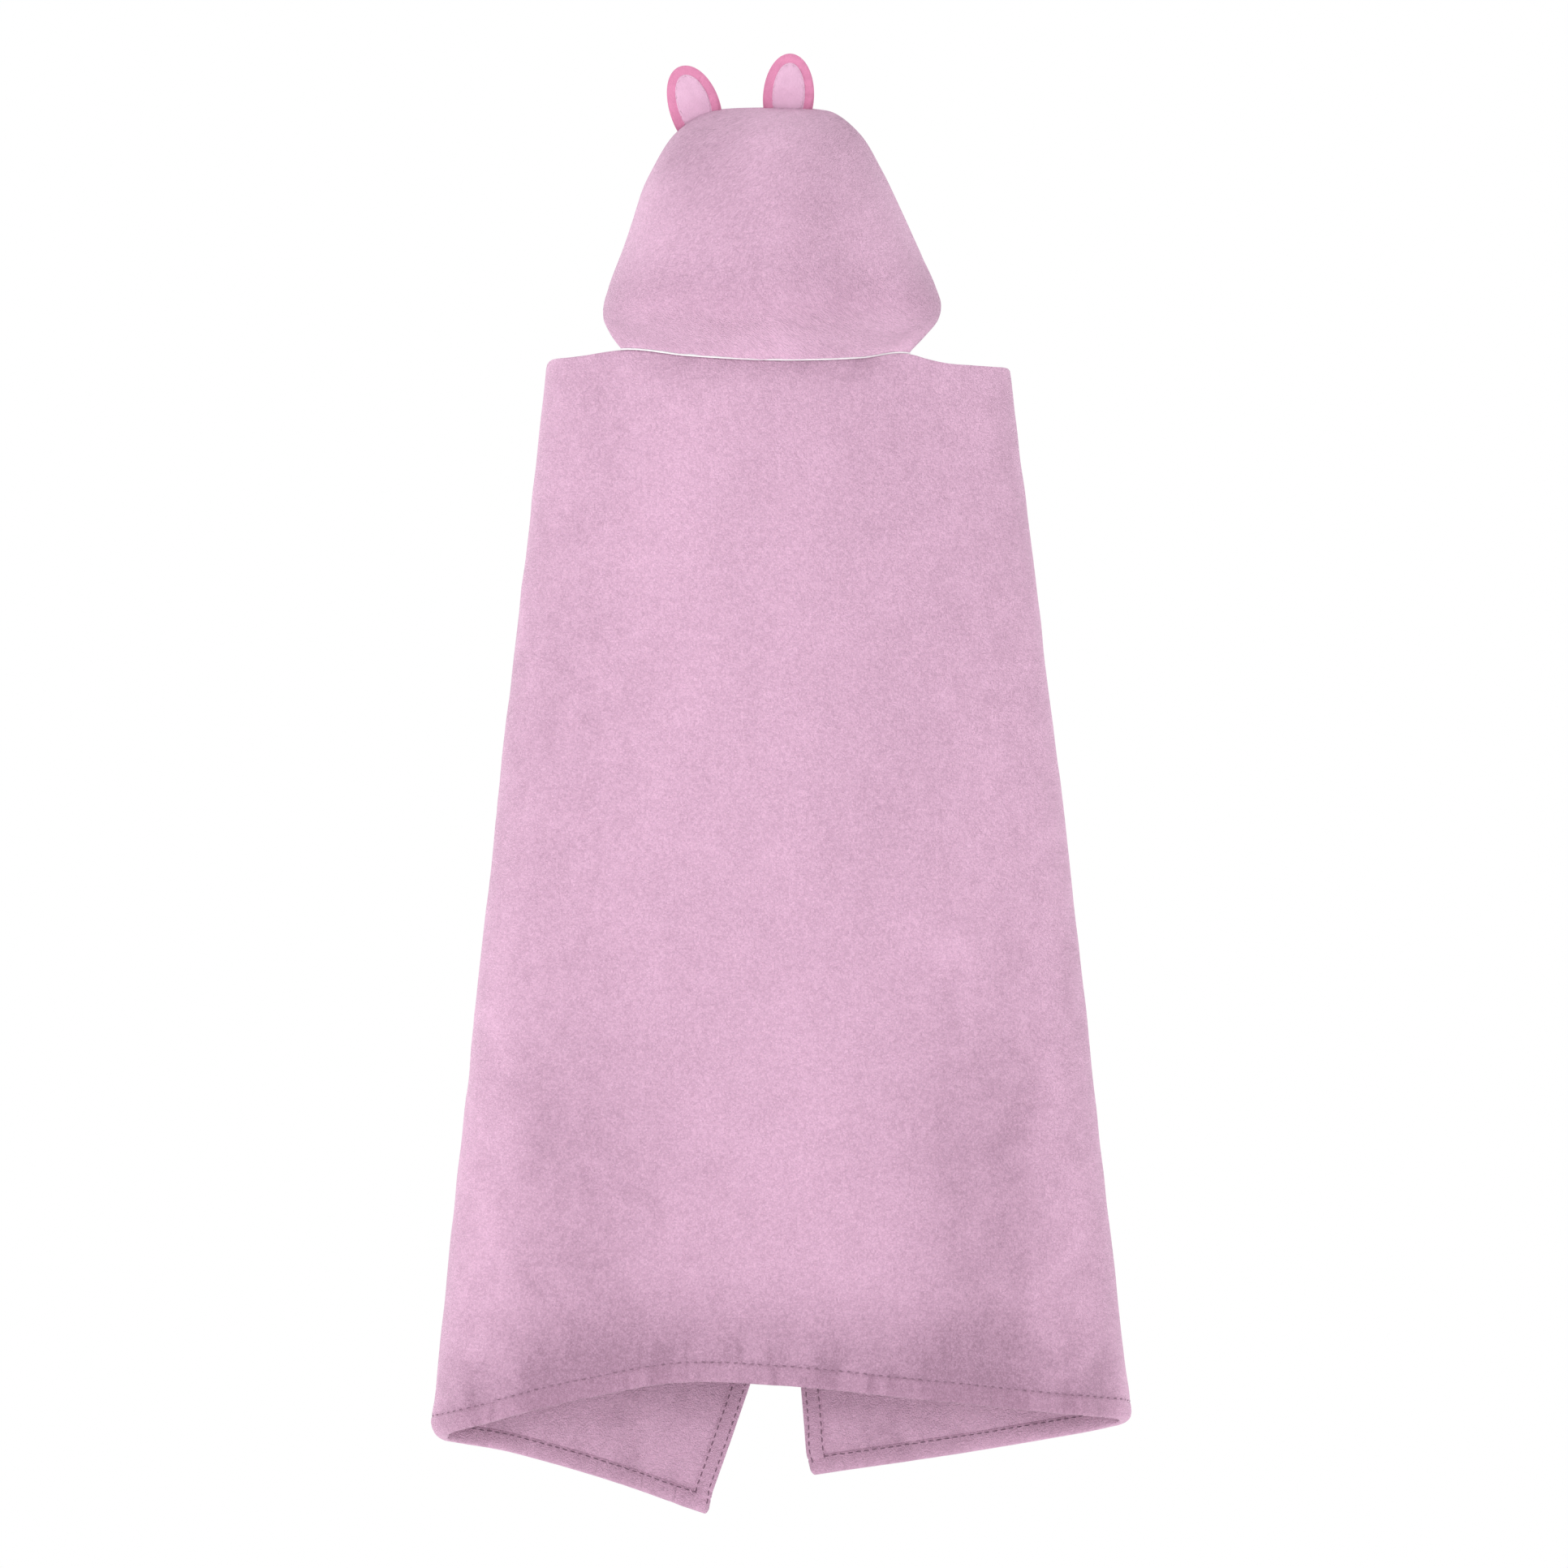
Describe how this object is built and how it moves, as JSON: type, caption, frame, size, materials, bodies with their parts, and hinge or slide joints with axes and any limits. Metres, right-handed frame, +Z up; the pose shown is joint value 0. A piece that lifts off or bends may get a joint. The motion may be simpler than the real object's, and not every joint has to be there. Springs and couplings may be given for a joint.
{
  "type": "hooded baby towel",
  "caption": "Hooded terry towel with two round animal ears, open and upright as it is worn, its side flaps crossed over the front.",
  "frame": {"origin": "middle of the neck seam, where the hood is sewn to the back of the towel", "axes": "+Z up, +Y towards the wearer's front and the face opening, -Y out of the wearer's back, +X to the right seen from behind"},
  "size_m": [0.6503, 0.1752, 1.3503],
  "materials": {
    "terry": "pale pink cotton terry",
    "ear_plush": "rose pink short plush",
    "ear_inner": "light pink smooth knit",
    "tape": "off-white woven tape",
    "wadding": "white fibre wadding"
  },
  "bodies": {
    "towel": {"back_panel": "terry", "front_flap_inner": "terry", "hem_bottom_back": "terry", "hem_bottom_inner": "terry", "hem_top_inner": "terry", "hem_front_inner": "terry", "hem_shoulder_left": "terry", "hem_shoulder_right": "terry", "neck_piping": "tape", "neck_tape": "tape", "hanging_loop": "tape", "care_label": "tape"},
    "outer_flap": {"front_flap_outer": "terry", "hem_bottom_outer": "terry", "hem_top_outer": "terry", "hem_front_outer": "terry"},
    "hood": {"hood_back_panel": "terry", "hood_front_panel": "terry", "hood_face_hem": "terry"},
    "ear_left": {"ear_left_back_cloth": "ear_plush", "ear_left_front_cloth": "ear_plush", "ear_left_back_patch": "ear_inner", "ear_left_front_patch": "ear_inner", "ear_left_wadding": "wadding"},
    "ear_right": {"ear_right_back_cloth": "ear_plush", "ear_right_front_cloth": "ear_plush", "ear_right_back_patch": "ear_inner", "ear_right_front_patch": "ear_inner", "ear_right_wadding": "wadding"}
  },
  "joints": [
    {"name": "hood_fold", "type": "hinge", "parent": "towel", "child": "hood", "pos_m": [0, -0.0028, 0], "axis": [1, 0, 0], "range_deg": [0, 150]},
    {"name": "outer_flap_open", "type": "hinge", "parent": "towel", "child": "outer_flap", "pos_m": [-0.2142, 0.064, 0], "axis": [0.1051, 0, 0.9945], "range_deg": [0, 150]},
    {"name": "ear_left_flop", "type": "hinge", "parent": "hood", "child": "ear_left", "pos_m": [-0.07241, 0.078, 0.22798], "axis": [0.9397, 0, 0.342], "range_deg": [-60, 60], "stiffness_Nm_per_rad": 0.02},
    {"name": "ear_right_flop", "type": "hinge", "parent": "hood", "child": "ear_right", "pos_m": [0.01211, 0.078, 0.23703], "axis": [0.9986, 0, -0.0523], "range_deg": [-60, 60], "stiffness_Nm_per_rad": 0.02}
  ]
}
